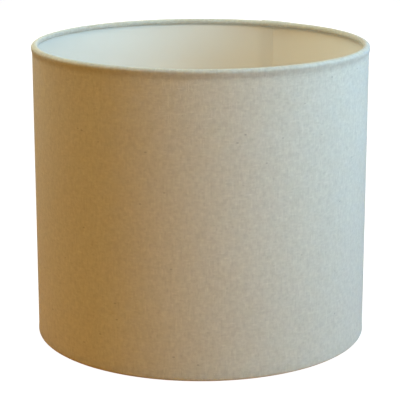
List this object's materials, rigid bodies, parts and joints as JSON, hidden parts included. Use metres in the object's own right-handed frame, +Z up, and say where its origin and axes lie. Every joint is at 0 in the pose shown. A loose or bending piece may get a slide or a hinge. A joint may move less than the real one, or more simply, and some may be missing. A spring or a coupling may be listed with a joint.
{
  "type": "lamp shade",
  "caption": "Straight-sided drum lamp shade: linen-look cloth on a rigid white liner, rolled over wire hoops, with a recessed wire carrier and a ring for the lampholder.",
  "frame": {"origin": "on the shade's axis, level with the lowest point of its lower rim", "axes": "+Z up along the shade's axis, with the lamp ring near the lower rim; +Y away from the front, so the panel's lapped seam is at the back, 62 degrees round from +X"},
  "size_m": [0.25, 0.25, 0.222],
  "materials": {
    "linen_cloth": "plain weave, matt",
    "white_styrene": "satin white",
    "clear_tape": "double-sided tape",
    "coated_wire": "white epoxy coating",
    "coated_washer": "white epoxy coating",
    "white_plastic": "satin moulding"
  },
  "bodies": {
    "root": {"cloth_cover": "linen_cloth", "styrene_liner": "white_styrene", "seam_tape": "clear_tape", "upper_hoop": "coated_wire", "lower_hoop": "coated_wire", "upper_hoop_tape": "clear_tape", "lower_hoop_tape": "clear_tape", "spoke_1": "coated_wire", "spoke_2": "coated_wire", "spoke_3": "coated_wire", "lamp_ring": "coated_washer", "reducer_ring": "white_plastic"}
  },
  "joints": []
}
